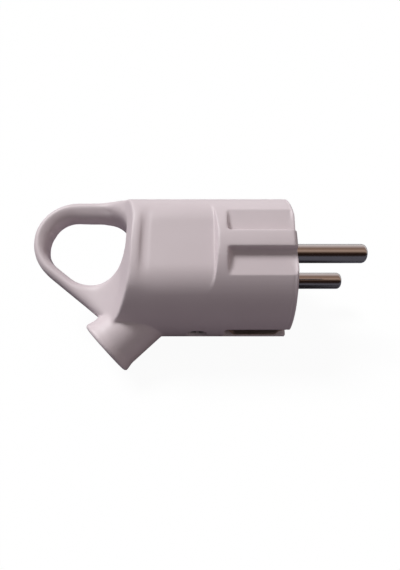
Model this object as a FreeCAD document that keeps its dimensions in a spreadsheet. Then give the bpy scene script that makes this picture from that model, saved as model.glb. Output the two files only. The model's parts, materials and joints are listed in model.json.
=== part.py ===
import FreeCAD, Part
import math
import os
import Sketcher
from FreeCAD import Placement, Rotation, Vector

# Type F mains plug with a finger loop and an angled cable outlet.
# Working axes: x along the pins with the front face at 0, y towards the upper
# earth contact, z along the line of the pins. The finished pieces are rolled
# together onto the side that the plug lies on.

sizes = {
    # round body
    "barrel_d": 37.0,
    "barrel_len": 41.2,
    "barrel_wall": 2.0,
    "rear_wall": 1.8,
    "front_edge": 0.9,
    # back of the body, flared down to the plate of the loop on both pin sides
    "rim_in": 2.25,
    "rim_flat": 2.0,
    "flare_lean": 24.7,
    "flare_ratio": 0.62,
    "neck_run": 1.5,
    "neck_rise": 1.1,
    # guide ribs and notches
    "rib_w": 4.4,
    "notch_len": 16.2,
    "notch_lean": 0.6,
    "notch_depth": 2.1,
    # finger grips
    "rear_band": 2.4,
    "grip_front": 17.6,
    "grip_lead": 1.5,
    "grip_tail": 0.8,
    "grip_depth": 2.2,
    "grip_round": 10.0,
    # earth contact slots
    "slot_w": 6.3,
    "slot_len": 16.4,
    # finger loop
    "loop_out": 27.45,
    "loop_over": 0.9,
    "loop_upper_r": 11.3,
    "loop_lower_r": 13.9,
    "loop_bar": 3.2,
    "loop_top_bar": 3.9,
    "loop_thick": 6.8,
    "loop_edge": 1.2,
    "strut_angle": 38.2,
    "hole_web": 0.1,
    "hole_corner_r": 9.9,
    # cable outlet
    "mouth_back": 5.55,
    "mouth_y": 22.25,
    "outlet_angle": 43.7,
    "outlet_d": 14.4,
    "lip_d": 15.4,
    "lip_len": 2.6,
    "lip_edge": 0.5,
    "bore_d": 10.0,
    "bore_over": 0.9,
    # fit of the insert
    "chord_over": 1.7,
    "terminal_room": 0.2,
    "insert_gap": 0.12,
    "fit_gap": 0.05,
    # insert
    "face_thick": 4.0,
    "bend_inset": 0.5,
    "spine_w": 8.8,
    "spine_cut": 1.2,
    "rail_depth": 7.6,
    "tail_over": 0.3,
    "tail_thick": 4.4,
    # pins and terminals
    "pin_spacing": 19.0,
    "pin_d": 4.8,
    "pin_len": 19.0,
    "pin_tip": 1.9,
    "collar_d": 5.4,
    "terminal_d": 6.4,
    "terminal_len": 12.95,
    "wire_d": 3.0,
    "wire_depth": 8.5,
    "terminal_screw_x": 13.0,
    "terminal_screw_d": 3.0,
    "terminal_screw_len": 3.6,
    "terminal_screw_tip": 1.0,
    # earth parts
    "earth_w": 6.0,
    "earth_thick": 0.8,
    "earth_proud": 0.1,
    "earth_bend": 0.8,
    "earth_tip": 0.6,
    "earth_screw_y": 7.0,
    "plate_side": 7.0,
    "plate_thick": 1.2,
    "earth_screw_len": 9.0,
    # cord clamp
    "clamp_back_of_nut": 4.1,
    "clamp_w": 5.4,
    "clamp_thick": 3.0,
    "clamp_gap": 0.8,
    "clamp_rib_d": 2.0,
    "clamp_screw_z": 7.6,
    "clamp_screw_len": 9.5,
    # screws and nut
    "screw_d": 3.0,
    "head_d": 5.0,
    "head_len": 2.0,
    "driver_w": 0.8,
    "driver_depth": 0.9,
    "fix_back": 6.65,
    "fix_head_d": 4.6,
    "fix_recess_d": 4.9,
    "fix_sink": 3.5,
    "fix_head_len": 2.5,
    "boss_d": 8.4,
    "boss_gap": 0.2,
    "nut_flats": 5.5,
    "nut_thick": 2.3,
    "nut_edge": 1.6,
}

# Sizes worked out from those above.
barrel_r = sizes["barrel_d"] / 2
barrel_len = sizes["barrel_len"]
cavity_r = barrel_r - sizes["barrel_wall"]
cavity_len = barrel_len - sizes["rear_wall"]
pin_z = sizes["pin_spacing"] / 2
terminal_r = sizes["terminal_d"] / 2
lobe_r = terminal_r + sizes["terminal_room"]
chord = pin_z + sizes["chord_over"]
fit_gap = sizes["fit_gap"]

# Back of the body: a straight flank on each pin side, then an arc down to the
# flat face of the loop.
half_thick = sizes["loop_thick"] / 2
flank = math.radians(sizes["flare_lean"])
flare_r = sizes["flare_ratio"] * barrel_r
rim_back = barrel_len - sizes["rim_in"]
flare_z = half_thick + flare_r * (1 - math.sin(flank))
rim_z = barrel_r - sizes["rim_flat"]
flare_end = rim_back + (rim_z - flare_z) * math.tan(flank)
flare_start = flare_end + flare_r * math.cos(flank)
flank_out = barrel_r + 1.0
flank_back_z = rim_z - (barrel_len - rim_back) / math.tan(flank)
plate_end = barrel_len - sizes["rear_wall"] * 0.75
plate_end_z = rim_z - (plate_end - rim_back) / math.tan(flank)

# Finger grips: a flat that runs out into the round body through an arc.
grip_floor = barrel_r - sizes["grip_depth"]
grip_flat = math.sqrt((barrel_r - sizes["grip_round"]) ** 2 - (grip_floor - sizes["grip_round"]) ** 2)
grip_turn = math.atan2(grip_flat, grip_floor - sizes["grip_round"])
grip_low = barrel_r * math.cos(grip_turn)
grip_slope = sizes["grip_lead"] / sizes["grip_depth"]
tail_slope = sizes["grip_tail"] / sizes["grip_depth"]
grip_rear = rim_back - sizes["rear_band"]
grip_start = grip_rear + 2.0 * tail_slope

# Notches: a flat floor beside the rib, and an end that leans back to the surface.
notch_foot = barrel_r - sizes["notch_depth"]
notch_reach = 8.5
notch_y = math.sqrt(barrel_r ** 2 - notch_foot ** 2)
notch_end_z = math.sqrt(barrel_r ** 2 - (sizes["rib_w"] / 2) ** 2)
notch_fall = (notch_end_z - notch_foot) / (notch_y - sizes["rib_w"] / 2)

# Loop: two arcs and a strut outside, the same set in by the bar inside.
strut_turn = math.radians(sizes["strut_angle"])
loop_top = barrel_r + sizes["loop_over"]
loop_reach = barrel_len + sizes["loop_out"]
loop_mid = loop_top - sizes["loop_upper_r"]
upper_x = loop_reach - sizes["loop_upper_r"]
lower_x = loop_reach - sizes["loop_lower_r"]
inner_top = loop_top - sizes["loop_top_bar"]
inner_reach = loop_reach - sizes["loop_bar"]
inner_upper_r = inner_top - loop_mid
inner_lower_r = sizes["loop_lower_r"] - sizes["loop_bar"]
hole_front = barrel_len + sizes["hole_web"]
corner_x = hole_front + sizes["hole_corner_r"]
strut_x = lower_x + sizes["loop_lower_r"] * math.sin(strut_turn)
strut_y = loop_mid - sizes["loop_lower_r"] * math.cos(strut_turn)
inner_strut_x = lower_x + inner_lower_r * math.sin(strut_turn)
inner_strut_y = loop_mid - inner_lower_r * math.cos(strut_turn)
corner_away = sizes["hole_corner_r"] - (inner_strut_x - corner_x) * math.sin(strut_turn)
low_corner_y = inner_strut_y + corner_away / math.cos(strut_turn)

# Outlet: long enough for its bore to open fully into the cavity.
outlet_turn = math.radians(sizes["outlet_angle"])
mouth_x = barrel_len + sizes["mouth_back"]
bore_r = sizes["bore_d"] / 2
bore_low = (sizes["mouth_y"] + bore_r * math.cos(outlet_turn) - cavity_r) / math.sin(outlet_turn)
bore_high = (mouth_x - cavity_len + bore_r * math.sin(outlet_turn)) / math.cos(outlet_turn)
bore_len = max(bore_low, bore_high) + sizes["bore_over"]

# Insert and what it carries.
insert_r = cavity_r - sizes["insert_gap"]
insert_chord = chord - sizes["insert_gap"]
insert_lobe_r = lobe_r - sizes["insert_gap"]
leg_out = cavity_r + sizes["earth_proud"]
leg_in = leg_out - sizes["earth_thick"]
spine_len = sizes["slot_len"] - sizes["bend_inset"]
spine_y = leg_in - fit_gap
web_in = spine_len + fit_gap
web_out = web_in + sizes["earth_thick"]
tail_y = sizes["rail_depth"] + sizes["tail_thick"]
tail_z = min(insert_chord, math.sqrt(insert_r ** 2 - tail_y ** 2) - fit_gap)
nut_room = (sizes["nut_flats"] + 2 * fit_gap) / math.sqrt(3.0)
nut_pocket = sizes["nut_thick"] + 2 * fit_gap
fix_x = web_out + sizes["fix_back"]
fix_seat = barrel_r - sizes["fix_sink"]
clamp_x = fix_x + sizes["clamp_back_of_nut"]
tail_front = fix_x - nut_room - sizes["nut_edge"]
tail_end = clamp_x + sizes["clamp_w"] / 2 + sizes["tail_over"]
terminal_seat = sizes["face_thick"] + fit_gap
set_top = sizes["terminal_screw_tip"] + sizes["terminal_screw_len"]
outside = barrel_r + 1.0

worked = {
    "barrel_r": barrel_r,
    "cavity_r": cavity_r,
    "cavity_len": cavity_len,
    "chord": chord,
    "lobe_r": lobe_r,
    "cavity_y": math.sqrt(cavity_r ** 2 - chord ** 2),
    "lobe_y": math.sqrt(lobe_r ** 2 - sizes["chord_over"] ** 2),
    "front_in": barrel_r - sizes["front_edge"],
    "flank_out": flank_out,
    "rim_back": rim_back,
    "rim_z": rim_z,
    "flank_back_z": flank_back_z,
    "barrel_back": barrel_len + 2.0,
    "rib_half": sizes["rib_w"] / 2,
    "notch_foot": notch_foot,
    "notch_floor_len": sizes["notch_len"] - sizes["notch_lean"],
    "notch_front": 1.0,
    "notch_far_y": sizes["rib_w"] / 2 + notch_reach,
    "notch_end_z": notch_end_z,
    "notch_end_far_z": notch_end_z - notch_fall * notch_reach,
    "notch_top": notch_foot + 5.0,
    "grip_start": grip_start,
    "grip_back": grip_start + 1.0,
    "grip_floor": grip_floor,
    "grip_flat": grip_flat,
    "grip_side": barrel_r * math.sin(grip_turn),
    "grip_low": grip_low,
    "grip_high": barrel_r + 2.0,
    "grip_under": grip_low - 1.0,
    "grip_under_x": sizes["grip_front"] + (barrel_r - grip_low + 1.0) * grip_slope,
    "grip_high_x": sizes["grip_front"] - 2.0 * grip_slope,
    "tail_under_x": grip_rear - (barrel_r - grip_low + 1.0) * tail_slope,
    "slot_half": sizes["slot_w"] / 2,
    "loop_top": loop_top,
    "loop_reach": loop_reach,
    "loop_mid": loop_mid,
    "upper_x": upper_x,
    "lower_x": lower_x,
    "inner_upper_r": inner_upper_r,
    "inner_upper_x": inner_reach - inner_upper_r,
    "inner_lower_r": inner_lower_r,
    "inner_top": inner_top,
    "inner_reach": inner_reach,
    "hole_front": hole_front,
    "corner_x": corner_x,
    "corner_y": inner_top - sizes["hole_corner_r"],
    "low_corner_y": low_corner_y,
    "low_tangent_x": corner_x + sizes["hole_corner_r"] * math.sin(strut_turn),
    "low_tangent_y": low_corner_y - sizes["hole_corner_r"] * math.cos(strut_turn),
    "strut_x": strut_x,
    "strut_y": strut_y,
    "strut_foot_y": strut_y - (strut_x - plate_end) * math.tan(strut_turn),
    "inner_strut_x": inner_strut_x,
    "inner_strut_y": inner_strut_y,
    "plate_end": plate_end,
    "plate_end_z": plate_end_z,
    "half_thick": half_thick,
    "flare_r": flare_r,
    "flare_start": flare_start,
    "flare_end": flare_end,
    "flare_z": flare_z,
    "blank_out": plate_end_z + 4.0,
    "blank_thick": 2 * plate_end_z + 4.0,
    "neck_front": plate_end - 1.0,
    "neck_back": barrel_len + sizes["neck_run"],
    "neck_out": loop_top + sizes["neck_rise"],
    "neck_far": loop_top + 15.0,
    "loop_back": loop_reach + 2.0,
    "mouth_x": mouth_x,
    "outlet_r": sizes["outlet_d"] / 2,
    "outlet_len": bore_len + 1.0,
    "lip_r": sizes["lip_d"] / 2,
    "lip_in": sizes["lip_d"] / 2 - sizes["lip_edge"],
    "bore_r": bore_r,
    "bore_len": bore_len,
    "bore_out": 1.0,
    "insert_r": insert_r,
    "insert_chord": insert_chord,
    "insert_lobe_r": insert_lobe_r,
    "insert_y": math.sqrt(insert_r ** 2 - insert_chord ** 2),
    "insert_lobe_y": math.sqrt(insert_lobe_r ** 2 - (insert_chord - pin_z) ** 2),
    "spine_len": spine_len,
    "spine_y": spine_y,
    "spine_cut_x": spine_len - sizes["spine_cut"],
    "spine_cut_y": spine_y - sizes["spine_cut"],
    "spine_half": sizes["spine_w"] / 2,
    "rail_len": tail_end - sizes["face_thick"],
    "tail_y": tail_y,
    "tail_z": tail_z,
    "tail_front": tail_front,
    "tail_len": tail_end - tail_front,
    "leg_slot": sizes["earth_w"] / 2 + 2 * fit_gap,
    "pin_z": pin_z,
    "pin_r": sizes["pin_d"] / 2,
    "collar_r": sizes["collar_d"] / 2,
    "pin_hole_r": sizes["collar_d"] / 2 + fit_gap,
    "pin_tip_x": sizes["pin_len"] - sizes["pin_tip"],
    "tip_bulge": (sizes["pin_tip"] ** 2 + (sizes["pin_d"] / 2) ** 2) / (2 * sizes["pin_tip"]),
    "terminal_r": terminal_r,
    "terminal_seat": terminal_seat,
    "terminal_end": terminal_seat + sizes["terminal_len"],
    "groove_r": terminal_r + fit_gap,
    "groove_len": sizes["terminal_len"] + 0.5,
    "wire_r": sizes["wire_d"] / 2,
    "set_r": sizes["terminal_screw_d"] / 2,
    "set_hole_r": sizes["terminal_screw_d"] / 2 + fit_gap,
    "set_top": set_top,
    "set_slot": set_top - sizes["driver_depth"],
    "leg_out": leg_out,
    "leg_in": leg_in,
    "web_out": web_out,
    "web_in": web_in,
    "bend_out": sizes["earth_bend"] + sizes["earth_thick"],
    "bend_x": web_in - sizes["earth_bend"],
    "bend_y": leg_in - sizes["earth_bend"],
    "screw_r": sizes["screw_d"] / 2,
    "screw_hole_r": sizes["screw_d"] / 2 + fit_gap,
    "screw_clear_r": sizes["screw_d"] / 2 + 4 * fit_gap,
    "head_r": sizes["head_d"] / 2,
    "head_slot": sizes["head_len"] - sizes["driver_depth"],
    "driver_half": sizes["driver_w"] / 2,
    "plate_half": sizes["plate_side"] / 2,
    "clamp_x": clamp_x,
    "clamp_half_span": chord - sizes["clamp_gap"],
    "clamp_front": clamp_x - sizes["clamp_w"] / 2,
    "clamp_back": clamp_x + sizes["clamp_w"] / 2,
    "clamp_rib_r": sizes["clamp_rib_d"] / 2,
    "clamp_hole_len": sizes["clamp_screw_len"] - sizes["clamp_thick"] + 0.4,
    "ridge_len": sizes["spine_w"] - 0.4,
    "fix_x": fix_x,
    "fix_seat": fix_seat,
    "fix_head_r": sizes["fix_head_d"] / 2,
    "fix_recess_r": sizes["fix_recess_d"] / 2,
    "outside": outside,
    "fix_recess_len": outside - fix_seat,
    "fix_through": outside - tail_y + 1.0,
    "fix_len": fix_seat - tail_y + nut_pocket - 2 * fit_gap,
    "fix_slot": sizes["fix_head_len"] - sizes["driver_depth"],
    "boss_r": sizes["boss_d"] / 2,
    "boss_y": tail_y + sizes["boss_gap"],
    "boss_len": barrel_r - sizes["barrel_wall"] / 2 - tail_y - sizes["boss_gap"],
    "nut_pocket": nut_pocket,
    "nut_y": tail_y - fit_gap,
    "nut_across": sizes["nut_flats"] / math.sqrt(3.0),
    "nut_half": sizes["nut_flats"] / 2,
    "nut_corner": sizes["nut_flats"] / math.sqrt(3.0) / 2,
    "nut_room": nut_room,
    "nut_room_half": sizes["nut_flats"] / 2 + fit_gap,
    "nut_room_corner": nut_room / 2,
    "through_all": 4 * barrel_len,
}

doc = FreeCAD.newDocument("type_f_plug")
sheet = doc.addObject("Spreadsheet::Sheet", "sizes")
value = {}
row = 1
for table in (sizes, worked):
    for name in table:
        sheet.set("A%d" % row, name)
        sheet.set("B%d" % row, repr(round(table[name], 9)))
        sheet.setAlias("B%d" % row, name)
        value[name] = round(table[name], 6)
        row = row + 1
doc.recompute()


def number(name):
    if name == "0":
        return 0.0
    if name[0] == "-":
        return -value[name[1:]]
    return value[name]


def cell(name):
    if name[0] == "-":
        return "-sizes." + name[1:]
    return "sizes." + name


def newBody(label):
    body = doc.addObject("PartDesign::Body", label)
    body.Label = label
    return body


def newSketch(body, role, label, depth=None):
    sketch = body.newObject("Sketcher::SketchObject", label)
    plane = [f for f in body.Origin.OriginFeatures if f.Role == role][0]
    sketch.AttachmentSupport = [(plane, "")]
    sketch.MapMode = "FlatFace"
    if depth is not None:
        sketch.setExpression("AttachmentOffset.Base.z", cell(depth))
    return sketch


def bind(sketch, kind, args, name):
    index = sketch.addConstraint(Sketcher.Constraint(kind, *args, number(name)))
    if name != "0":
        sketch.setExpression("Constraints[%d]" % index, cell(name))


def outline(sketch, corners):
    # A closed line. Each corner is (x, y) in named sizes, followed by a named
    # radius where the side that leaves it is an arc turning left, or right
    # with a minus sign in front of the radius.
    count = len(corners)
    sides = []
    for i in range(count):
        here = corners[i]
        there = corners[(i + 1) % count]
        a = Vector(number(here[0]), number(here[1]), 0)
        b = Vector(number(there[0]), number(there[1]), 0)
        if len(here) == 2:
            sides.append((sketch.addGeometry(Part.LineSegment(a, b)), 1, 2))
            continue
        radius = abs(number(here[2]))
        left = here[2][0] != "-"
        half = (b - a).Length / 2
        along = (b - a).normalize()
        away = Vector(-along.y, along.x, 0)
        rise = math.sqrt(max(radius ** 2 - half ** 2, 0.0))
        centre = (a + b) * 0.5 + away * (rise if left else -rise)
        circle = Part.Circle(centre, Vector(0, 0, 1), radius)
        first, last = (a, b) if left else (b, a)
        start = math.atan2(first.y - centre.y, first.x - centre.x)
        end = math.atan2(last.y - centre.y, last.x - centre.x)
        arc = Part.ArcOfCircle(circle, start, end)
        ends = (1, 2) if left else (2, 1)
        sides.append((sketch.addGeometry(arc),) + ends)
    for i in range(count):
        side = sides[i]
        after = sides[(i + 1) % count]
        meet = Sketcher.Constraint("Coincident", side[0], side[2], after[0], after[1])
        sketch.addConstraint(meet)
    for i in range(count):
        side = sides[i]
        bind(sketch, "DistanceX", (-1, 1, side[0], side[1]), corners[i][0])
        bind(sketch, "DistanceY", (-1, 1, side[0], side[1]), corners[i][1])
        if len(corners[i]) == 3:
            bind(sketch, "Radius", (side[0],), corners[i][2].lstrip("-"))


def ring(sketch, x, y, radius):
    centre = Vector(number(x), number(y), 0)
    index = sketch.addGeometry(Part.Circle(centre, Vector(0, 0, 1), number(radius)))
    bind(sketch, "DistanceX", (-1, 1, index, 3), x)
    bind(sketch, "DistanceY", (-1, 1, index, 3), y)
    bind(sketch, "Radius", (index,), radius)


def box(sketch, x1, y1, x2, y2):
    outline(sketch, [(x1, y1), (x2, y1), (x2, y2), (x1, y2)])


def extrude(body, kind, sketch, length, label, both=False, back=False):
    feature = body.newObject("PartDesign::" + kind, label)
    feature.Profile = sketch
    feature.setExpression("Length", cell(length))
    feature.Midplane = both
    feature.Reversed = back
    doc.recompute()
    return feature


def turn(body, kind, sketch, axis, label):
    feature = body.newObject("PartDesign::" + kind, label)
    feature.Profile = sketch
    feature.ReferenceAxis = (sketch, [axis])
    feature.Angle = 360.0
    doc.recompute()
    return feature


def easeEdges(body, feature, size, label, wanted):
    names = []
    for i, edge in enumerate(feature.Shape.Edges):
        if wanted(edge):
            names.append("Edge%d" % (i + 1))
    chamfer = body.newObject("PartDesign::Chamfer", label)
    chamfer.Base = (feature, names)
    chamfer.setExpression("Size", cell(size))
    doc.recompute()
    return chamfer


def onOutletAxis(sketch):
    sketch.setExpression("AttachmentOffset.Base.x", "-sizes.mouth_x")
    sketch.setExpression("AttachmentOffset.Base.y", "-sizes.mouth_y")
    sketch.AttachmentOffset = Placement(Vector(0, 0, 0), Rotation(Vector(0, 0, 1), sizes["outlet_angle"]))
    sketch.setExpression("AttachmentOffset.Rotation.Angle", "sizes.outlet_angle")


# Finger loop with its web: a flat plate that flares out towards the body.
loop = newBody("loop_blank")
sketch = newSketch(loop, "XY_Plane", "loop_outline")
outline(sketch, [
    ("-plate_end", "loop_top"),
    ("-upper_x", "loop_top", "loop_upper_r"),
    ("-loop_reach", "loop_mid", "loop_lower_r"),
    ("-strut_x", "strut_y"),
    ("-plate_end", "strut_foot_y"),
])
outline(sketch, [
    ("-inner_upper_x", "inner_top", "inner_upper_r"),
    ("-inner_reach", "loop_mid", "inner_lower_r"),
    ("-inner_strut_x", "inner_strut_y"),
    ("-low_tangent_x", "low_tangent_y", "hole_corner_r"),
    ("-hole_front", "low_corner_y"),
    ("-hole_front", "corner_y", "hole_corner_r"),
    ("-corner_x", "inner_top"),
])
extrude(loop, "Pad", sketch, "blank_thick", "loop_plate", both=True)
sketch = newSketch(loop, "XZ_Plane", "flare_outline")
outline(sketch, [
    ("-flare_start", "half_thick", "flare_r"),
    ("-flare_end", "flare_z"),
    ("-plate_end", "plate_end_z"),
    ("-plate_end", "blank_out"),
    ("-loop_back", "blank_out"),
    ("-loop_back", "half_thick"),
])
outline(sketch, [
    ("-flare_start", "-half_thick", "-flare_r"),
    ("-flare_end", "-flare_z"),
    ("-plate_end", "-plate_end_z"),
    ("-plate_end", "-blank_out"),
    ("-loop_back", "-blank_out"),
    ("-loop_back", "-half_thick"),
])
flared = extrude(loop, "Pocket", sketch, "through_all", "loop_flare", both=True)


def loopEdge(edge):
    room = edge.BoundBox
    if abs(edge.CenterOfMass.z) < 1.0:
        return False
    if room.XMin > -plate_end - 0.01:
        return False
    across = room.XLength < 1e-4 and room.ZLength < 1e-4
    return not (across and abs(edge.CenterOfMass.z) > half_thick - 1e-3)


easeEdges(loop, flared, "loop_edge", "loop_edges", loopEdge)

# The top of the flare follows the round body.
sketch = newSketch(loop, "XY_Plane", "neck_profile")
outline(sketch, [
    ("-neck_front", "barrel_r"),
    ("-neck_back", "barrel_r"),
    ("-flare_start", "neck_out"),
    ("-flare_start", "neck_far"),
    ("-neck_front", "neck_far"),
])
turn(loop, "Groove", sketch, "H_Axis", "neck_turned")

# Round body with a straight flank at the back on both pin sides.
barrel = newBody("barrel_blank")
sketch = newSketch(barrel, "XY_Plane", "barrel_profile")
outline(sketch, [
    ("0", "0"),
    ("0", "front_in"),
    ("-front_edge", "barrel_r"),
    ("-barrel_len", "barrel_r"),
    ("-barrel_len", "0"),
])
turn(barrel, "Revolution", sketch, "H_Axis", "barrel_turned")
sketch = newSketch(barrel, "XZ_Plane", "flank_profile")
for side in ("", "-"):
    outline(sketch, [
        ("-barrel_len", side + "flank_back_z"),
        ("-rim_back", side + "rim_z"),
        ("-rim_back", side + "flank_out"),
        ("-barrel_back", side + "flank_out"),
        ("-barrel_back", side + "flank_back_z"),
    ])
extrude(barrel, "Pocket", sketch, "through_all", "barrel_flanks", both=True)

# Cable outlet with a flared lip.
outlet = newBody("outlet_blank")
sketch = newSketch(outlet, "XY_Plane", "outlet_profile")
onOutletAxis(sketch)
outline(sketch, [
    ("0", "0"),
    ("outlet_len", "0"),
    ("outlet_len", "outlet_r"),
    ("lip_len", "outlet_r"),
    ("lip_edge", "lip_r"),
    ("0", "lip_in"),
])
turn(outlet, "Revolution", sketch, "H_Axis", "outlet_turned")

blank = doc.addObject("Part::MultiFuse", "housing_blank")
blank.Shapes = [barrel, loop, outlet]
blank.Refine = True
doc.recompute()

# Finger grips, cut on both pin sides, with ends that lean outwards.
grips = newBody("grip_blank")
sketch = newSketch(grips, "YZ_Plane", "grip_section", "-grip_start")
for side in ("", "-"):
    outline(sketch, [
        ("grip_flat", side + "grip_floor"),
        ("-grip_flat", side + "grip_floor", side + "grip_round"),
        ("-grip_side", side + "grip_low"),
        ("-grip_side", side + "grip_high"),
        ("grip_side", side + "grip_high"),
        ("grip_side", side + "grip_low", side + "grip_round"),
    ])
extrude(grips, "Pad", sketch, "grip_start", "grip_pad")
sketch = newSketch(grips, "XZ_Plane", "grip_end_profile")
for side in ("", "-"):
    outline(sketch, [
        ("-grip_under_x", side + "grip_under"),
        ("-grip_high_x", side + "grip_high"),
        ("grip_depth", side + "grip_high"),
        ("grip_depth", side + "grip_under"),
    ])
    outline(sketch, [
        ("-tail_under_x", side + "grip_under"),
        ("-grip_start", side + "grip_high"),
        ("-grip_back", side + "grip_high"),
        ("-grip_back", side + "grip_under"),
    ])
extrude(grips, "Pocket", sketch, "through_all", "grip_ends", both=True)
gripped = doc.addObject("Part::Cut", "gripped_blank")
gripped.Base = blank
gripped.Tool = grips
doc.recompute()

# The moulded housing: cavity, bore, notches, slots and screw seat.
housing = newBody("housing")
housing.BaseFeature = gripped
doc.recompute()
sketch = newSketch(housing, "YZ_Plane", "cavity_outline")
outline(sketch, [
    ("cavity_y", "chord"),
    ("lobe_y", "chord", "lobe_r"),
    ("-lobe_y", "chord"),
    ("-cavity_y", "chord", "cavity_r"),
    ("-cavity_y", "-chord"),
    ("-lobe_y", "-chord", "lobe_r"),
    ("lobe_y", "-chord"),
    ("cavity_y", "-chord", "cavity_r"),
])
extrude(housing, "Pocket", sketch, "cavity_len", "cavity")
sketch = newSketch(housing, "XY_Plane", "bore_profile")
onOutletAxis(sketch)
box(sketch, "-bore_out", "0", "bore_len", "bore_r")
turn(housing, "Groove", sketch, "H_Axis", "cable_bore")
sketch = newSketch(housing, "XZ_Plane", "slot_outline")
box(sketch, "-slot_len", "-slot_half", "front_edge", "slot_half")
extrude(housing, "Pocket", sketch, "through_all", "earth_slots", both=True)

# Guide notches: a wall beside the rib, a flat floor, and an end that leans
# towards the back.
for up in ("", "-"):
    for side in ("", "-"):
        near = up + "rib_half"
        away = up + "notch_far_y"
        top = side + "notch_top"
        sections = []
        for depth, foot, rim in (
            ("notch_front", "notch_foot", "notch_foot"),
            ("-notch_floor_len", "notch_foot", "notch_foot"),
            ("-notch_len", "notch_end_z", "notch_end_far_z"),
        ):
            sketch = newSketch(housing, "YZ_Plane", "notch_section", depth)
            outline(sketch, [(near, side + foot), (away, side + rim), (away, top), (near, top)])
            sections.append(sketch)
        notch = housing.newObject("PartDesign::SubtractiveLoft", "guide_notch")
        notch.Profile = sections[0]
        notch.Sections = sections[1:]
        notch.Ruled = True
        doc.recompute()

# Seat of the fixing screw in the underside.
sketch = newSketch(housing, "XZ_Plane", "boss_outline", "boss_y")
ring(sketch, "-fix_x", "0", "boss_r")
extrude(housing, "Pad", sketch, "boss_len", "screw_boss")
sketch = newSketch(housing, "XZ_Plane", "recess_outline", "outside")
ring(sketch, "-fix_x", "0", "fix_recess_r")
extrude(housing, "Pocket", sketch, "fix_recess_len", "screw_recess")
sketch = newSketch(housing, "XZ_Plane", "through_outline", "outside")
ring(sketch, "-fix_x", "0", "screw_clear_r")
extrude(housing, "Pocket", sketch, "fix_through", "screw_way")

# Insert: front face, spine, terminal rails and the floor of the cord channel.
carrier = newBody("contact_carrier")
sketch = newSketch(carrier, "YZ_Plane", "face_outline")
outline(sketch, [
    ("insert_y", "insert_chord"),
    ("insert_lobe_y", "insert_chord", "insert_lobe_r"),
    ("-insert_lobe_y", "insert_chord"),
    ("-insert_y", "insert_chord", "insert_r"),
    ("-insert_y", "-insert_chord"),
    ("-insert_lobe_y", "-insert_chord", "insert_lobe_r"),
    ("insert_lobe_y", "-insert_chord"),
    ("insert_y", "-insert_chord", "insert_r"),
])
extrude(carrier, "Pad", sketch, "face_thick", "front_face", back=True)
sketch = newSketch(carrier, "XY_Plane", "spine_outline")
outline(sketch, [
    ("-face_thick", "spine_y"),
    ("-spine_cut_x", "spine_y"),
    ("-spine_len", "spine_cut_y"),
    ("-spine_len", "-spine_cut_y"),
    ("-spine_cut_x", "-spine_y"),
    ("-face_thick", "-spine_y"),
])
extrude(carrier, "Pad", sketch, "spine_w", "spine", both=True)
sketch = newSketch(carrier, "YZ_Plane", "rail_outline", "-face_thick")
box(sketch, "-rail_depth", "spine_half", "0", "insert_chord")
box(sketch, "-rail_depth", "-spine_half", "0", "-insert_chord")
extrude(carrier, "Pad", sketch, "rail_len", "rails", back=True)
sketch = newSketch(carrier, "YZ_Plane", "tail_outline", "-tail_front")
box(sketch, "-tail_y", "-tail_z", "-rail_depth", "tail_z")
extrude(carrier, "Pad", sketch, "tail_len", "tail", back=True)
sketch = newSketch(carrier, "YZ_Plane", "terminal_outline", "-face_thick")
ring(sketch, "0", "pin_z", "groove_r")
ring(sketch, "0", "-pin_z", "groove_r")
extrude(carrier, "Pocket", sketch, "groove_len", "terminal_grooves")
sketch = newSketch(carrier, "YZ_Plane", "pin_hole_outline")
ring(sketch, "0", "pin_z", "pin_hole_r")
ring(sketch, "0", "-pin_z", "pin_hole_r")
extrude(carrier, "Pocket", sketch, "terminal_seat", "pin_holes")
sketch = newSketch(carrier, "YZ_Plane", "leg_outline")
box(sketch, "spine_y", "-leg_slot", "outside", "leg_slot")
box(sketch, "-spine_y", "-leg_slot", "-outside", "leg_slot")
extrude(carrier, "Pocket", sketch, "face_thick", "leg_slots")
sketch = newSketch(carrier, "YZ_Plane", "earth_hole_outline", "-spine_len")
ring(sketch, "earth_screw_y", "0", "screw_hole_r")
extrude(carrier, "Pocket", sketch, "earth_screw_len", "earth_screw_hole", back=True)
sketch = newSketch(carrier, "XZ_Plane", "clamp_hole_outline")
ring(sketch, "-clamp_x", "clamp_screw_z", "screw_hole_r")
ring(sketch, "-clamp_x", "-clamp_screw_z", "screw_hole_r")
extrude(carrier, "Pocket", sketch, "clamp_hole_len", "clamp_screw_holes", back=True)
sketch = newSketch(carrier, "XZ_Plane", "nut_room_outline", "tail_y")
hexagon = [
    ("nut_room_corner", "nut_room_half"),
    ("-nut_room_corner", "nut_room_half"),
    ("-nut_room", "0"),
    ("-nut_room_corner", "-nut_room_half"),
    ("nut_room_corner", "-nut_room_half"),
    ("nut_room", "0"),
]
outline(sketch, hexagon)
sketch.setExpression("AttachmentOffset.Base.x", "-sizes.fix_x")
extrude(carrier, "Pocket", sketch, "nut_pocket", "nut_room_cut")
sketch = newSketch(carrier, "XZ_Plane", "nut_way_outline", "tail_y")
ring(sketch, "-fix_x", "0", "screw_clear_r")
extrude(carrier, "Pocket", sketch, "tail_thick", "nut_way")


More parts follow.
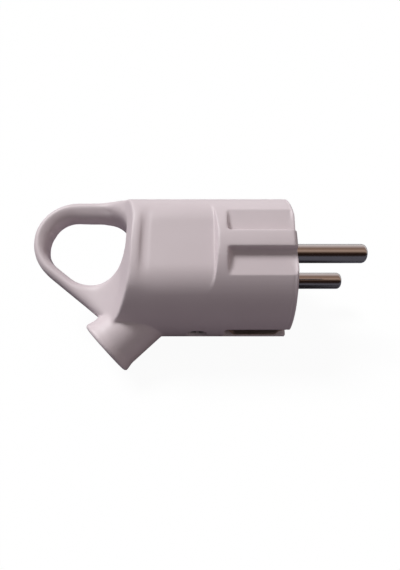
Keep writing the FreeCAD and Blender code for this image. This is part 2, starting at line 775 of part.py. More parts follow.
def makePin(label):
    # A pin turned in one piece with its terminal: rounded tip, collar in the
    # front face, shoulder behind it, wire bore at the back and a cross hole for
    # the set screw.
    body = newBody(label)
    sketch = newSketch(body, "XY_Plane", "pin_profile")
    outline(sketch, [
        ("-terminal_end", "0"),
        ("pin_len", "0", "tip_bulge"),
        ("pin_tip_x", "pin_r"),
        ("0", "pin_r"),
        ("0", "collar_r"),
        ("-terminal_seat", "collar_r"),
        ("-terminal_seat", "terminal_r"),
        ("-terminal_end", "terminal_r"),
    ])
    turn(body, "Revolution", sketch, "H_Axis", "pin_turned")
    sketch = newSketch(body, "YZ_Plane", "wire_outline", "-terminal_end")
    ring(sketch, "0", "0", "wire_r")
    extrude(body, "Pocket", sketch, "wire_depth", "wire_bore", back=True)
    sketch = newSketch(body, "XZ_Plane", "set_outline")
    ring(sketch, "-terminal_screw_x", "0", "set_hole_r")
    extrude(body, "Pocket", sketch, "set_top", "set_hole")
    return body


def makeScrew(label, profile, slot):
    # A turned screw along y with a straight driver slot.
    body = newBody(label)
    sketch = newSketch(body, "XY_Plane", "screw_profile")
    outline(sketch, profile)
    turn(body, "Revolution", sketch, "V_Axis", "screw_turned")
    sketch = newSketch(body, "XY_Plane", "slot_profile")
    box(sketch, *slot)
    extrude(body, "Pocket", sketch, "head_d", "driver_slot", both=True)
    return body


set_profile = [
    ("0", "terminal_screw_tip"),
    ("set_r", "terminal_screw_tip"),
    ("set_r", "set_top"),
    ("0", "set_top"),
]
set_slot = ("-driver_half", "set_slot", "driver_half", "set_top")
live_pin = makePin("live_pin")
neutral_pin = makePin("neutral_pin")
live_set = makeScrew("live_terminal_screw", set_profile, set_slot)
neutral_set = makeScrew("neutral_terminal_screw", set_profile, set_slot)

# Earth strip: one bent strip with a leg in each side slot.
bracket = newBody("earth_bracket")
sketch = newSketch(bracket, "XY_Plane", "strip_profile")
outline(sketch, [
    ("-earth_tip", "leg_out"),
    ("-bend_x", "leg_out", "bend_out"),
    ("-web_out", "bend_y"),
    ("-web_out", "-bend_y", "bend_out"),
    ("-bend_x", "-leg_out"),
    ("-earth_tip", "-leg_out"),
    ("-earth_tip", "-leg_in"),
    ("-bend_x", "-leg_in", "-earth_bend"),
    ("-web_in", "-bend_y"),
    ("-web_in", "bend_y", "-earth_bend"),
    ("-bend_x", "leg_in"),
    ("-earth_tip", "leg_in"),
])
extrude(bracket, "Pad", sketch, "earth_w", "strip", both=True)
sketch = newSketch(bracket, "YZ_Plane", "strip_hole_outline", "-web_out")
ring(sketch, "earth_screw_y", "0", "screw_clear_r")
extrude(bracket, "Pocket", sketch, "bend_out", "strip_hole", back=True)

plate = newBody("earth_clamp_plate")
sketch = newSketch(plate, "YZ_Plane", "plate_outline")
box(sketch, "-plate_half", "-plate_half", "plate_half", "plate_half")
ring(sketch, "0", "0", "screw_clear_r")
extrude(plate, "Pad", sketch, "plate_thick", "plate_pad", back=True)

earth_screw = makeScrew("earth_terminal_screw", [
    ("0", "-earth_screw_len"),
    ("screw_r", "-earth_screw_len"),
    ("screw_r", "0"),
    ("head_r", "0"),
    ("head_r", "head_len"),
    ("0", "head_len"),
], ("-driver_half", "head_slot", "driver_half", "head_len"))

# Cord clamp: a bar across the channel with a ridge that bites the cord.
clamp = newBody("cord_clamp")
sketch = newSketch(clamp, "XZ_Plane", "bar_outline")
box(sketch, "-clamp_back", "-clamp_half_span", "-clamp_front", "clamp_half_span")
ring(sketch, "-clamp_x", "clamp_screw_z", "screw_clear_r")
ring(sketch, "-clamp_x", "-clamp_screw_z", "screw_clear_r")
extrude(clamp, "Pad", sketch, "clamp_thick", "bar", back=True)
sketch = newSketch(clamp, "XY_Plane", "ridge_outline")
ring(sketch, "-clamp_x", "0", "clamp_rib_r")
extrude(clamp, "Pad", sketch, "ridge_len", "ridge", both=True)

clamp_profile = [
    ("0", "-clamp_screw_len"),
    ("screw_r", "-clamp_screw_len"),
    ("screw_r", "0"),
    ("head_r", "0"),
    ("head_r", "head_len"),
    ("0", "head_len"),
]
clamp_slot = ("-driver_half", "head_slot", "driver_half", "head_len")
clamp_left = makeScrew("cord_clamp_screw_left", clamp_profile, clamp_slot)
clamp_right = makeScrew("cord_clamp_screw_right", clamp_profile, clamp_slot)

# Fixing screw, head outwards in the underside, and its nut in the insert.
fix_screw = makeScrew("housing_screw", [
    ("0", "-fix_len"),
    ("screw_r", "-fix_len"),
    ("screw_r", "0"),
    ("fix_head_r", "0"),
    ("fix_head_r", "fix_head_len"),
    ("0", "fix_head_len"),
], ("-driver_half", "fix_slot", "driver_half", "fix_head_len"))
nut = newBody("housing_nut")
sketch = newSketch(nut, "XZ_Plane", "nut_outline")
outline(sketch, [
    ("nut_corner", "nut_half"),
    ("-nut_corner", "nut_half"),
    ("-nut_across", "0"),
    ("-nut_corner", "-nut_half"),
    ("nut_corner", "-nut_half"),
    ("nut_across", "0"),
])
ring(sketch, "0", "0", "screw_hole_r")
extrude(nut, "Pad", sketch, "nut_thick", "nut_pad", back=True)
doc.recompute()

# The plug lies on its round body and on the lip of the outlet, so all pieces
# are rolled together until the lip is level with the body's underside.
lip_y = sizes["mouth_y"] - sizes["lip_edge"] * math.sin(outlet_turn)


def lipReach(angle):
    tall = math.hypot(math.cos(outlet_turn) * math.sin(angle), math.cos(angle))
    edge = lip_y * math.sin(angle) + value["lip_r"] * tall
    return max(edge, sizes["mouth_y"] * math.sin(angle) + value["lip_in"] * tall)


low, high = 0.0, math.pi / 2
for step in range(60):
    middle = (low + high) / 2
    if lipReach(middle) < barrel_r:
        low = middle
    else:
        high = middle
roll = Rotation(Vector(1, 0, 0), math.degrees(low))

quarter = Rotation(Vector(0, 0, 1), 90)
half_turn = Rotation(Vector(1, 0, 0), 180)
plate_x = -web_out
head_x = -web_out - sizes["plate_thick"]
set_x = -sizes["terminal_screw_x"]
pieces = [
    (housing, Placement()),
    (carrier, Placement()),
    (live_pin, Placement(Vector(0, 0, pin_z), Rotation())),
    (neutral_pin, Placement(Vector(0, 0, -pin_z), Rotation())),
    (live_set, Placement(Vector(set_x, 0, pin_z), Rotation())),
    (neutral_set, Placement(Vector(set_x, 0, -pin_z), Rotation())),
    (bracket, Placement()),
    (plate, Placement(Vector(plate_x, sizes["earth_screw_y"], 0), Rotation())),
    (earth_screw, Placement(Vector(head_x, sizes["earth_screw_y"], 0), quarter)),
    (clamp, Placement()),
    (clamp_left, Placement(Vector(-clamp_x, sizes["clamp_thick"], -sizes["clamp_screw_z"]), Rotation())),
    (clamp_right, Placement(Vector(-clamp_x, sizes["clamp_thick"], sizes["clamp_screw_z"]), Rotation())),
    (fix_screw, Placement(Vector(-fix_x, -fix_seat, 0), half_turn)),
    (nut, Placement(Vector(-fix_x, -value["nut_y"], 0), Rotation())),
]
lying = Placement(Vector(0, 0, 0), roll)
for body, seat in pieces:
    body.Placement = lying.multiply(seat)
doc.recompute()
room = Part.makeCompound([body.Shape for body, seat in pieces]).optimalBoundingBox(False, False)
shift = Vector(-(room.XMin + room.XMax) / 2, -(room.YMin + room.YMax) / 2, -room.ZMin)
lying = Placement(shift, roll)
for body, seat in pieces:
    body.Placement = lying.multiply(seat)
doc.recompute()

for item in doc.Objects:
    if "Invalid" in item.State or "Error" in item.State:
        raise RuntimeError("%s did not build: %s" % (item.Label, item.State))
for body, seat in pieces:
    if body.Shape.isNull() or not body.Shape.isValid():
        raise RuntimeError("%s has no valid shape" % body.Label)
    if len(body.Shape.Solids) != 1:
        raise RuntimeError("%s is %d solids" % (body.Label, len(body.Shape.Solids)))

os.makedirs("parts", exist_ok=True)
for body, seat in pieces:
    body.Shape.exportStep("parts/%s.step" % body.Label)
print("roll %.3f degrees, shift %.3f %.3f %.3f" % (math.degrees(low), shift.x, shift.y, shift.z))
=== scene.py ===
import json
import math
import bmesh
import bpy
from mathutils import Matrix, Vector


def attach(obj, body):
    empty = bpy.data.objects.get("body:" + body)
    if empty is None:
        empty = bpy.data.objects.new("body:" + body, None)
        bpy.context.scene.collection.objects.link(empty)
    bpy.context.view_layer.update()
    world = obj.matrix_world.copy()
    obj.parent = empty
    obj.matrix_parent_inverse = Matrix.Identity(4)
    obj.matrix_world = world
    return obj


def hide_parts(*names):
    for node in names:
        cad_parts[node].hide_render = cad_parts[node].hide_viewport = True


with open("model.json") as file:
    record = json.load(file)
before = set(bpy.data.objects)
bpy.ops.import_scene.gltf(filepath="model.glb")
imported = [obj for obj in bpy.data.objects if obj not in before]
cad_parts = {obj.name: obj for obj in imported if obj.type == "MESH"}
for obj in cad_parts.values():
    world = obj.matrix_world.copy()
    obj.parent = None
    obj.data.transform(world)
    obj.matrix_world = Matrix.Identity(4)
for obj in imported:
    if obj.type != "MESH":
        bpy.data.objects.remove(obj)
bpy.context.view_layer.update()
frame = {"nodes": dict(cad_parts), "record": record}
scene = bpy.context.scene
print("frame loaded:", len(frame["nodes"]), "pieces")

mm = 0.001


def hexColour(code):
    # sRGB hex to linear, as the shader sockets want it
    parts = [int(code[i:i + 2], 16) / 255 for i in (0, 2, 4)]
    linear = [c / 12.92 if c <= 0.04045 else ((c + 0.055) / 1.055) ** 2.4 for c in parts]
    return (*linear, 1.0)


def addNode(tree, kind, settings=None, links=None):
    # settings are attributes or unlinked sockets, links maps a socket to an output socket
    node = tree.nodes.new(kind)
    for key, value in (settings or {}).items():
        if isinstance(key, str) and hasattr(node, key):
            setattr(node, key, value)
        else:
            node.inputs[key].default_value = value
    for key, socket in (links or {}).items():
        tree.links.new(socket, node.inputs[key])
    return node


def newMaterial(name):
    material = bpy.data.materials.new(name)
    material.use_nodes = True
    tree = material.node_tree
    shader = tree.nodes["Principled BSDF"]
    place = addNode(tree, "ShaderNodeTexCoord")
    return material, tree, shader, place.outputs["Object"]


# moulded ABS: pinkish white, faintly glossy, with a slow drift of tone and a fine spark texture
plastic = {
    "colour": "d9cdd1",
    "deep": "cfc2c6",
    "roughness": 0.5,
    "ior": 1.5,
    "driftMm": 14.0,
    "grainMm": 0.35,  # coarser than the real grain, so that it shows
    "grainHighMm": 0.05,
    "grainStrength": 0.08,
}


def mouldedPlastic():
    material, tree, shader, place = newMaterial("moulded_white_abs")
    drift = addNode(tree, "ShaderNodeTexNoise",
                    {"Scale": 1 / (plastic["driftMm"] * mm), "Detail": 3.0}, {"Vector": place})
    tone = addNode(tree, "ShaderNodeMix",
                   {"data_type": "RGBA", 6: hexColour(plastic["deep"]), 7: hexColour(plastic["colour"])},
                   {0: drift.outputs["Fac"]})
    tree.links.new(tone.outputs[2], shader.inputs["Base Color"])
    grain = addNode(tree, "ShaderNodeTexNoise",
                    {"Scale": 1 / (plastic["grainMm"] * mm), "Detail": 2.0}, {"Vector": place})
    bump = addNode(tree, "ShaderNodeBump",
                   {"Strength": plastic["grainStrength"], "Distance": plastic["grainHighMm"] * mm},
                   {"Height": grain.outputs["Fac"]})
    tree.links.new(bump.outputs["Normal"], shader.inputs["Normal"])
    shader.inputs["Roughness"].default_value = plastic["roughness"]
    shader.inputs["IOR"].default_value = plastic["ior"]
    return material


# nickel plated brass: warm grey mirror, drawn lines along the pin, faint brown handling marks
nickel = {
    "colour": "c9c3c0",
    "handled": "bfb8b4",
    "smooth": 0.13,
    "rough": 0.19,
    "lineMm": 0.25,  # coarser than the real lines, so that they show
    "lineStretch": (0.02, 1.0, 1.0),
    "markMm": 3.0,
}


def platedPin():
    material, tree, shader, place = newMaterial("drawn_nickel_plated_brass")
    marks = addNode(tree, "ShaderNodeTexNoise",
                    {"Scale": 1 / (nickel["markMm"] * mm), "Detail": 4.0}, {"Vector": place})
    tone = addNode(tree, "ShaderNodeMix",
                   {"data_type": "RGBA", 6: hexColour(nickel["colour"]), 7: hexColour(nickel["handled"])},
                   {0: marks.outputs["Fac"]})
    tree.links.new(tone.outputs[2], shader.inputs["Base Color"])
    stretch = addNode(tree, "ShaderNodeMapping", {"Scale": nickel["lineStretch"]}, {"Vector": place})
    lines = addNode(tree, "ShaderNodeTexNoise",
                    {"Scale": 1 / (nickel["lineMm"] * mm), "Detail": 3.0}, {"Vector": stretch.outputs[0]})
    rough = addNode(tree, "ShaderNodeMapRange",
                    {"To Min": nickel["smooth"], "To Max": nickel["rough"]}, {"Value": lines.outputs["Fac"]})
    tree.links.new(rough.outputs[0], shader.inputs["Roughness"])
    shader.inputs["Metallic"].default_value = 1.0
    return material


# rolled brass strip: yellow-brown, lines of the rolling along it, browner where it has tarnished
brass = {
    "colour": "dcc09e",
    "tarnish": "bf9f7e",
    "smooth": 0.25,
    "rough": 0.45,
    "lineMm": 0.2,  # coarser than the real lines, so that they show
    "lineStretch": (0.05, 1.0, 1.0),
    "patchMm": 2.5,
}


def rolledBrass():
    material, tree, shader, place = newMaterial("rolled_brass_strip")
    patch = addNode(tree, "ShaderNodeTexNoise",
                    {"Scale": 1 / (brass["patchMm"] * mm), "Detail": 4.0}, {"Vector": place})
    tone = addNode(tree, "ShaderNodeMix",
                   {"data_type": "RGBA", 6: hexColour(brass["colour"]), 7: hexColour(brass["tarnish"])},
                   {0: patch.outputs["Fac"]})
    tree.links.new(tone.outputs[2], shader.inputs["Base Color"])
    stretch = addNode(tree, "ShaderNodeMapping", {"Scale": brass["lineStretch"]}, {"Vector": place})
    lines = addNode(tree, "ShaderNodeTexNoise",
                    {"Scale": 1 / (brass["lineMm"] * mm), "Detail": 2.0}, {"Vector": stretch.outputs[0]})
    rough = addNode(tree, "ShaderNodeMapRange",
                    {"To Min": brass["smooth"], "To Max": brass["rough"]}, {"Value": lines.outputs["Fac"]})
    tree.links.new(rough.outputs[0], shader.inputs["Roughness"])
    shader.inputs["Metallic"].default_value = 1.0
    return material


# zinc plated steel: grey with a cloudy passivated film and small dull spots
zincPlate = {
    "colour": "6a6461",
    "cloud": "4a4442",
    "smooth": 0.3,
    "rough": 0.5,
    "cloudMm": 1.2,
    "spotMm": 0.3,
}


def platedSteel():
    material, tree, shader, place = newMaterial("zinc_plated_steel")
    cloud = addNode(tree, "ShaderNodeTexNoise",
                    {"Scale": 1 / (zincPlate["cloudMm"] * mm), "Detail": 4.0}, {"Vector": place})
    tone = addNode(tree, "ShaderNodeMix",
                   {"data_type": "RGBA", 6: hexColour(zincPlate["colour"]), 7: hexColour(zincPlate["cloud"])},
                   {0: cloud.outputs["Fac"]})
    tree.links.new(tone.outputs[2], shader.inputs["Base Color"])
    spots = addNode(tree, "ShaderNodeTexVoronoi",
                    {"Scale": 1 / (zincPlate["spotMm"] * mm)}, {"Vector": place})
    rough = addNode(tree, "ShaderNodeMapRange",
                    {"To Min": zincPlate["rough"], "To Max": zincPlate["smooth"]},
                    {"Value": spots.outputs["Distance"]})
    tree.links.new(rough.outputs[0], shader.inputs["Roughness"])
    shader.inputs["Metallic"].default_value = 1.0
    return material


# moulded urea resin of the insert: a colder, harder white with a fine speckle of its filler
urea = {
    "colour": "d6d0cf",
    "speckle": "c6bfbd",
    "roughness": 0.3,
    "speckleMm": 0.5,
    "speckleHighMm": 0.03,
    "speckleStrength": 0.05,
}


def mouldedUrea():
    material, tree, shader, place = newMaterial("moulded_urea_resin")
    filler = addNode(tree, "ShaderNodeTexNoise",
                     {"Scale": 1 / (urea["speckleMm"] * mm), "Detail": 5.0}, {"Vector": place})
    tone = addNode(tree, "ShaderNodeMix",
                   {"data_type": "RGBA", 6: hexColour(urea["speckle"]), 7: hexColour(urea["colour"])},
                   {0: filler.outputs["Fac"]})
    tree.links.new(tone.outputs[2], shader.inputs["Base Color"])
    bump = addNode(tree, "ShaderNodeBump",
                   {"Strength": urea["speckleStrength"], "Distance": urea["speckleHighMm"] * mm},
                   {"Height": filler.outputs["Fac"]})
    tree.links.new(bump.outputs["Normal"], shader.inputs["Normal"])
    shader.inputs["Roughness"].default_value = urea["roughness"]
    return material


bySlot = {
    "housing_plastic": mouldedPlastic(),
    "carrier_plastic": mouldedUrea(),
    "pin_metal": platedPin(),
    "earth_metal": rolledBrass(),
    "screw_steel": platedSteel(),
}
slotOf = {row["node"]: row["material_slot"] for row in frame["record"]["subparts"]}
for name, node in frame["nodes"].items():
    node.data.materials.clear()
    node.data.materials.append(bySlot[slotOf[name]])
print("materials done")

# the plug lies turned about its own length: x along the pins, y to one earth contact, z to one pin
lie = {"roll": 31.075, "shift": (24.825, 3.22, 18.5)}
toRow = Matrix.Translation(Vector(lie["shift"]) * mm) @ Matrix.Rotation(math.radians(lie["roll"]), 4, "X")
toPlug = toRow.inverted()

# millimetres within which a CAD copy is welded and cut, and degrees past which an edge stays sharp
copied = {"weld": 0.001, "cut": 0.0001, "sharp": 30}


def copyNode(name):
    # a merged copy of a CAD node's mesh, in the plug's own axes
    node = frame["nodes"][name]
    bm = bmesh.new()
    bm.from_mesh(node.data)
    bmesh.ops.remove_doubles(bm, verts=bm.verts, dist=copied["weld"] * mm)
    bmesh.ops.transform(bm, matrix=toPlug @ node.matrix_world, verts=bm.verts)
    bmesh.ops.recalc_face_normals(bm, faces=bm.faces)
    return bm


def cutAcross(bm, x, clearOuter=False):
    # a cut across the plug's length, and the edges along it
    cut = bmesh.ops.bisect_plane(bm, geom=bm.verts[:] + bm.edges[:] + bm.faces[:], dist=copied["cut"] * mm,
                                 plane_co=(x * mm, 0, 0), plane_no=(1, 0, 0), clear_outer=clearOuter)
    return [g for g in cut["geom_cut"] if isinstance(g, bmesh.types.BMEdge)]


def shadeSmooth(bm):
    for face in bm.faces:
        face.smooth = True
    for edge in bm.edges:
        edge.smooth = edge.calc_face_angle(0) < math.radians(copied["sharp"])


def addPiece(name, bm, material):
    mesh = bpy.data.meshes.new(name)
    bm.to_mesh(mesh)
    bm.free()
    mesh.materials.append(material)
    piece = bpy.data.objects.new(name, mesh)
    scene.collection.objects.link(piece)
    return piece


def ramp(value, start, end):
    # 0 at start, 1 at end, straight in between
    return min(max((value - start) / (end - start), 0.0), 1.0)


# housing: one soft moulding skinned over the CAD walls, closed inside where nothing shows.
# Sizes are millimetres in the plug's axes, and each pair runs from no effect to the full one
housing = {
    "voxel": 0.26,
    "triangles": 190000,
    "flank": (9.0, 11.0),
    "rounds": 6,
    "crisp": {"rounds": 4, "x": (-20.6, -20.0)},
    "loop": {"rounds": 40, "x": (-41.0, -46.0), "y": (-15.0, -11.0)},
    "gripBlend": {"rounds": 40, "front": (-32.5, -35.0), "rear": (-39.6, -38.0)},
    "foot": {"rounds": 6, "front": (-38.0, -41.0), "rear": (-54.0, -50.0),
             "upper": (-8.0, -11.0), "lower": (-19.0, -16.0)},
    "gripFront": {"back": 0.75, "front": (-16.3, -17.6), "rear": (-19.3, -17.8)},
    "gripRear": {"back": 0.5, "front": (-32.0, -35.5), "rear": (-38.8, -36.8)},
    "ridge": {"low": 0.1, "foot": 14.6, "front": (-34.0, -36.0), "rear": (-47.0, -40.0)},
    "edge": {"radius": 18.5, "cad": 0.9, "left": 0.35, "fade": 1.0, "notch": (16.7, 16.2)},
    "corner": {"middle": (-44.5, 11.5), "half": 7.0, "reaches": (5.5, 4.5, 3.5), "rounds": 25},
    "lid": {"x": -18.3, "radius": 16.9, "flat": 13.6, "thick": 1.6},
    "stopper": {"mouth": (-46.75, -22.25), "angle": 43.7, "deep": 13.6, "radius": 5.4, "thick": 1.6},
    "discSides": 72,
}


def addDisc(bm, radius, thick, place, flat=None):
    # a round disc across the x axis of place, with two flats where given
    turn = Matrix.Rotation(math.radians(90), 4, "Y")
    made = bmesh.ops.create_cone(bm, cap_ends=True, segments=housing["discSides"], radius1=radius * mm,
                                 radius2=radius * mm, depth=thick * mm, matrix=turn)
    verts = made["verts"]
    if flat:
        for side in (1, -1):
            faces = list({f for v in verts for f in v.link_faces})
            edges = list({e for v in verts for e in v.link_edges})
            cut = bmesh.ops.bisect_plane(bm, geom=verts + edges + faces, plane_co=(0, 0, side * flat * mm),
                                         plane_no=(0, 0, side), clear_outer=True)
            verts = [g for g in cut["geom"] if isinstance(g, bmesh.types.BMVert)]
            rim = [g for g in cut["geom_cut"] if isinstance(g, bmesh.types.BMEdge)]
            bmesh.ops.holes_fill(bm, edges=rim, sides=0)
    bmesh.ops.transform(bm, matrix=place, verts=verts)


def modified(bm, kind, settings):
    # the mesh of bm after one modifier, as a new bmesh
    mesh = bpy.data.meshes.new("blank")
    bm.to_mesh(mesh)
    bm.free()
    blank = bpy.data.objects.new("blank", mesh)
    scene.collection.objects.link(blank)
    modifier = blank.modifiers.new("shape", kind)
    for key, value in settings.items():
        setattr(modifier, key, value)
    done = bpy.data.meshes.new_from_object(blank.evaluated_get(bpy.context.evaluated_depsgraph_get()))
    bpy.data.objects.remove(blank)
    out = bmesh.new()
    out.from_mesh(done)
    bpy.data.meshes.remove(done)
    bpy.data.meshes.remove(mesh)
    return out


def smoothSkin(bm, verts, rounds):
    for step in range(rounds):
        bmesh.ops.smooth_vert(bm, verts=verts, factor=0.5,
                              use_axis_x=True, use_axis_y=True, use_axis_z=True)


def along(x, part):
    # 1 between the front and rear ends of a part of the housing, fading out at both
    return ramp(x, *part["front"]) * ramp(x, *part["rear"])


def housingRounds(x, y, z):
    # how often a spot of the skin is smoothed: little at crisp features, much at the soft blends
    part = housing["crisp"]
    crisp = part["rounds"] * ramp(x, *part["x"])
    part = housing["loop"]
    loop = part["rounds"] * ramp(x, *part["x"]) * ramp(y, *part["y"])
    part = housing["gripBlend"]
    gripBlend = part["rounds"] * ramp(abs(z), *housing["flank"]) * along(x, part)
    part = housing["foot"]
    foot = part["rounds"] * along(x, part) * ramp(y, *part["upper"]) * ramp(y, *part["lower"])
    return housing["rounds"] - round(crisp) + round(max(loop, gripBlend, foot))


def easedSpot(spot):
    # small moves of the skin: the grips' steep front end, the low ridge behind them,
    # and a front edge that is nearly sharp beside the notches
    x, y, z = spot
    ridge = housing["ridge"]
    over = max(abs(z) - ridge["foot"], 0.0)
    low = ridge["low"] * along(x, ridge) * over * over
    back = sum(part["back"] * along(x, part) for part in (housing["gripFront"], housing["gripRear"]))
    flank = ramp(abs(z), *housing["flank"])
    moved = Vector((x - flank * back, y, math.copysign(abs(z) - low, z)))
    edge = housing["edge"]
    away = math.hypot(y, z)
    inner = edge["radius"] - edge["cad"]
    push = min(edge["cad"] + x, edge["cad"] - edge["left"]) if x > -edge["cad"] else 0.0
    push *= ramp(away, inner - edge["fade"], inner) * ramp(abs(z), *edge["notch"])
    push = min(push, max(edge["radius"] - away, 0.0))
    moved.y *= 1 + push / max(away, 1.0)
    moved.z *= 1 + push / max(away, 1.0)
    return moved


# finger hole: the bar above and behind it swells to a rounded inner face and opens at its two edges
hole = {
    "centre": (-53.4, 5.6),
    "half": 3.4,
    "reach": 2.9,
    "bulge": {"most": 1.3, "x": (-42.5, -48.0), "rise": (-2.0, 5.0)},
    "cut": {"most": 0.45, "x": (-43.5, -52.5), "rise": (-5.0, 3.0)},
    "bins": 120,
    "measured": 1.5,
    "furthest": 15,
    "open": 99.0,
}


def holeTurn(x, y):
    # a spot's offset from the hole's centre, and its direction counted in bins
    dx = x - hole["centre"][0]
    dy = y - hole["centre"][1]
    return dx, dy, math.atan2(dy, dx) / math.tau * hole["bins"]


def holeEdge(bm):
    # how far the hole's wall is from its centre, for each direction
    radii = [hole["open"]] * hole["bins"]
    for vert in bm.verts:
        x, y, z = vert.co / mm
        dx, dy, turn = holeTurn(x, y)
        away = math.hypot(dx, dy)
        if abs(z) < hole["measured"] and away < hole["furthest"]:
            way = math.floor(turn) % hole["bins"]
            radii[way] = min(radii[way], away)
    return radii


def leanedBar(spot, radii):
    x, y, z = spot
    dx, dy, turn = holeTurn(x, y)
    away = math.hypot(dx, dy)
    first = math.floor(turn - 0.5)
    share = turn - 0.5 - first
    wall = radii[first % hole["bins"]] * (1 - share) + radii[(first + 1) % hole["bins"]] * share
    fall = 1 - min(max(away - wall, 0.0) / hole["reach"], 1.0)
    level = min(abs(z) / hole["half"], 1.0) ** 3
    cut, bulge = [
        part["most"] * ramp(x, *part["x"]) * ramp(dy, *part["rise"]) for part in (hole["cut"], hole["bulge"])
    ]
    move = (cut * level - bulge * (1 - level)) * fall
    return Vector((x + dx / away * move, y + dy / away * move, z))


def makeHousing():
    bm = copyNode("housing")
    lid = housing["lid"]
    addDisc(bm, lid["radius"], lid["thick"], Matrix.Translation((lid["x"] * mm, 0, 0)), lid["flat"])
    stopper = housing["stopper"]
    axis = Matrix.Rotation(math.radians(stopper["angle"]), 4, "Z")
    mouth = Matrix.Translation((stopper["mouth"][0] * mm, stopper["mouth"][1] * mm, 0))
    deep = Matrix.Translation((stopper["deep"] * mm, 0, 0))
    addDisc(bm, stopper["radius"], stopper["thick"], mouth @ axis @ deep)
    bm = modified(bm, "REMESH", {"mode": "VOXEL", "voxel_size": housing["voxel"] * mm})
    done = 0
    rounds = {v: housingRounds(v.co.x / mm, v.co.y / mm, v.co.z / mm) for v in bm.verts}
    for level in sorted(set(rounds.values())):
        smoothSkin(bm, [v for v in bm.verts if rounds[v] >= level], level - done)
        done = level
    radii = holeEdge(bm)
    for vert in bm.verts:
        vert.co = leanedBar(easedSpot(vert.co / mm), radii) * mm
    corner = housing["corner"]
    middle = Vector(corner["middle"])
    for reach in corner["reaches"]:
        near = [v for v in bm.verts if abs(v.co.z / mm) < corner["half"]]
        smoothSkin(bm, [v for v in near if (v.co.xy / mm - middle).length < reach], corner["rounds"])
    triangles = 2 * len(bm.faces)
    bm = modified(bm, "DECIMATE", {"ratio": housing["triangles"] / triangles})
    bmesh.ops.transform(bm, matrix=toRow, verts=bm.verts)
    for face in bm.faces:
        face.smooth = True
    piece = addPiece("moulded_housing", bm, bySlot["housing_plastic"])
    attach(piece, "root")
    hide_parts("housing")
    print("housing done:", len(piece.data.polygons), "faces")


makeHousing()

# pins: turned shank with a slightly domed end and a rounded edge, on the terminal inside
pin = {
    "side": 9.5,
    "radius": 2.4,
    "length": 19.0,
    "dome": 0.35,
    "edge": 0.95,
    "edgeSteps": 10,
    "join": -0.5,
    "steps": 96,
    "near": 0.0005,
}


def makePin(name, side):
    bm = copyNode(name)
    bmesh.ops.holes_fill(bm, edges=cutAcross(bm, pin["join"], clearOuter=True), sides=0)
    ring = pin["length"] - pin["dome"]
    spots = ((pin["join"], 0), (pin["join"], pin["radius"]), (ring, pin["radius"]), (pin["length"], 0))
    points = [bmesh.ops.create_vert(bm, co=(x * mm, y * mm, side * mm))["vert"][0] for x, y in spots]
    line = [bm.edges.new(pair) for pair in zip(points, points[1:])]
    start = len(bm.faces)
    bmesh.ops.spin(bm, geom=points + line, cent=(0, 0, side * mm), axis=(1, 0, 0),
                   angle=math.radians(360), steps=pin["steps"], use_merge=True)
    bm.faces.ensure_lookup_table()
    shank = bm.faces[start:]
    bmesh.ops.remove_doubles(bm, verts=list({v for f in shank for v in f.verts}), dist=copied["weld"] * mm)
    rim = [e for e in bm.edges if all(abs(v.co.x - ring * mm) < pin["near"] * mm for v in e.verts)]
    bmesh.ops.bevel(bm, geom=rim, offset=pin["edge"] * mm, affect="EDGES", segments=pin["edgeSteps"],
                    profile=0.5, material=-1)
    bmesh.ops.recalc_face_normals(bm, faces=bm.faces)
    shadeSmooth(bm)
    bmesh.ops.transform(bm, matrix=toRow, verts=bm.verts)
    piece = addPiece("turned_" + name, bm, bySlot["pin_metal"])
    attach(piece, "root")
    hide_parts(name)
    print(name, "done:", len(piece.data.polygons), "faces")


makePin("live_pin", pin["side"])
makePin("neutral_pin", -pin["side"])

# earth strip: the bent strip with its two contact legs sprung outwards between their ends
strip = {
    "bow": 1.2,
    "leg": 15.0,
    "cuts": (-15.4, -14.8, -14.2, -13.6, -3.0, -2.4, -1.8, -1.2),
    "rear": (-15.4, -13.6),
    "front": (-1.2, -3.0),
}


def makeStrip():
    bm = copyNode("earth_bracket")
    for x in strip["cuts"]:
        cutAcross(bm, x)
    for vert in bm.verts:
        if abs(vert.co.y) > strip["leg"] * mm:
            share = along(vert.co.x / mm, strip)
            share = share * share * (3 - 2 * share)
            vert.co.y += math.copysign(strip["bow"] * share * mm, vert.co.y)
    bmesh.ops.transform(bm, matrix=toRow, verts=bm.verts)
    shadeSmooth(bm)
    piece = addPiece("sprung_earth_strip", bm, bySlot["earth_metal"])
    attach(piece, "root")
    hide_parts("earth_bracket")
    print("earth strip done:", len(piece.data.polygons), "faces")


makeStrip()

# white floor that keeps a faint shadow, sends a dim warm bounce up at the plug, and shows polished metal a
# darker bluish grey as a painted reflection
floor = {"size": 6.0, "bounce": "786d76", "mirrored": "62636e", "shadowShare": 0.045}


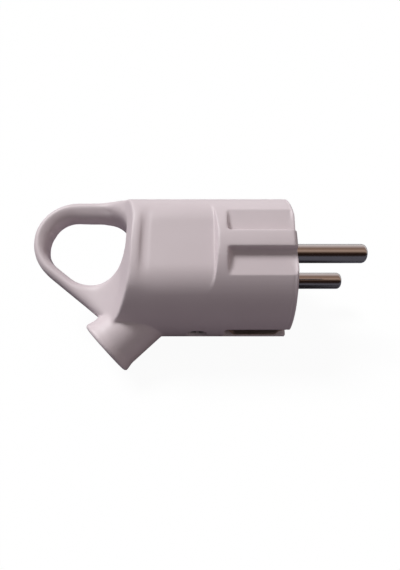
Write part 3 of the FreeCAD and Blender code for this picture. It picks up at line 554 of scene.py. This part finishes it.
def makeFloor():
    material = bpy.data.materials.new("white_studio_floor")
    material.use_nodes = True
    tree = material.node_tree
    tree.nodes.remove(tree.nodes["Principled BSDF"])
    path = addNode(tree, "ShaderNodeLightPath")
    bounce = addNode(tree, "ShaderNodeBsdfDiffuse", {"Color": hexColour(floor["bounce"])})
    lit = addNode(tree, "ShaderNodeBsdfDiffuse", {"Color": (1, 1, 1, 1)})
    glow = addNode(tree, "ShaderNodeEmission", {"Color": (1, 1, 1, 1), "Strength": 1.0})
    shown = addNode(tree, "ShaderNodeMixShader", {0: floor["shadowShare"]},
                    {1: glow.outputs[0], 2: lit.outputs[0]})
    # painted reflection: polished metal mirrors the floor in this darker bluish grey, not in the white the
    # camera sees
    mirrored = addNode(tree, "ShaderNodeBsdfDiffuse", {"Color": hexColour(floor["mirrored"])})
    unseen = addNode(tree, "ShaderNodeMixShader", {},
                     {0: path.outputs["Is Glossy Ray"], 1: bounce.outputs[0], 2: mirrored.outputs[0]})
    mixed = addNode(tree, "ShaderNodeMixShader", {},
                    {0: path.outputs["Is Camera Ray"], 1: unseen.outputs[0], 2: shown.outputs[0]})
    tree.links.new(mixed.outputs[0], tree.nodes["Material Output"].inputs["Surface"])
    bm = bmesh.new()
    bmesh.ops.create_grid(bm, x_segments=1, y_segments=1, size=floor["size"] / 2)
    sheet = addPiece("floor", bm, material)


# one key from above and behind on the loop's side, a weak wide fill from the pins' side that
# metal doesn't mirror, a dim room, and what polished metal sees:
# degrees from straight up towards the back, with the colour there
light = {
    "key": {"energy": 3.0, "spread": 22, "way": (0.5, -0.25, -0.83), "colour": "ffffff", "mirrored": True},
    "fill": {"energy": 0.42, "spread": 60, "way": (-0.9, 0.35, -0.25), "colour": "ffeee6", "mirrored": False},
    "room": 0.165,
    "seen": [
        (-95, "3f3c3e"), (-76, "2f2422"), (-62, "251610"), (-50, "3e2e25"), (-37, "8b7669"), (-25, "cdb6a7"),
        (-11, "b59b8d"), (2, "98806f"), (16, "a18b82"), (31, "ccbdb9"), (49, "e9e1e2"), (72, "f6f5f6"),
    ],
}


def makeLight():
    world = bpy.data.worlds.new("studio")
    scene.world = world
    world.use_nodes = True
    tree = world.node_tree
    room = tree.nodes["Background"]
    room.inputs["Color"].default_value = (1, 1, 1, 1)
    room.inputs["Strength"].default_value = light["room"]
    place = addNode(tree, "ShaderNodeTexCoord")
    parts = addNode(tree, "ShaderNodeSeparateXYZ", {}, {0: place.outputs["Generated"]})
    turn = addNode(tree, "ShaderNodeMath", {"operation": "ARCTAN2"},
                   {0: parts.outputs["Y"], 1: parts.outputs["Z"]})
    share = addNode(tree, "ShaderNodeMapRange", {"From Min": -math.pi, "From Max": math.pi},
                    {"Value": turn.outputs[0]})
    bands = addNode(tree, "ShaderNodeValToRGB", {}, {0: share.outputs[0]})
    stops = bands.color_ramp.elements
    while len(stops) < len(light["seen"]):
        stops.new(0.5)
    for stop, (degrees, code) in zip(stops, light["seen"]):
        stop.position = 0.5 + degrees / 360
        stop.color = hexColour(code)
    mirrored = addNode(tree, "ShaderNodeBackground", {"Strength": 1.0}, {"Color": bands.outputs["Color"]})
    white = addNode(tree, "ShaderNodeBackground", {"Color": (1, 1, 1, 1), "Strength": 1.0})
    path = addNode(tree, "ShaderNodeLightPath")
    dim = addNode(tree, "ShaderNodeMixShader", {},
                  {0: path.outputs["Is Glossy Ray"], 1: room.outputs[0], 2: mirrored.outputs[0]})
    mixed = addNode(tree, "ShaderNodeMixShader", {},
                    {0: path.outputs["Is Camera Ray"], 1: dim.outputs[0], 2: white.outputs[0]})
    tree.links.new(mixed.outputs[0], tree.nodes["World Output"].inputs["Surface"])
    for name in ("key", "fill"):
        settings = light[name]
        sun = bpy.data.lights.new(name, "SUN")
        sun.energy = settings["energy"]
        sun.angle = math.radians(settings["spread"])
        sun.color = hexColour(settings["colour"])[:3]
        lamp = bpy.data.objects.new(name, sun)
        lamp.rotation_euler = Vector(settings["way"]).to_track_quat("-Z", "Y").to_euler()
        lamp.visible_glossy = settings["mirrored"]
        scene.collection.objects.link(lamp)


# camera at the photograph's place, fitted to the round body and the pins
view = {"place": (2.145, -82.986, 81.144), "pitch": 51.54, "lens": 24.52, "sensor": 36.0, "nearest": 0.001}


def makeCamera():
    data = bpy.data.cameras.new("camera")
    data.lens = view["lens"]
    data.sensor_width = view["sensor"]
    data.clip_start = view["nearest"]
    camera = bpy.data.objects.new("camera", data)
    camera.location = Vector(view["place"]) * mm
    camera.rotation_euler = (math.radians(view["pitch"]), 0, 0)
    scene.collection.objects.link(camera)
    scene.camera = camera


makeFloor()
makeLight()
makeCamera()
scene.view_settings.view_transform = "Standard"
print("stage done")
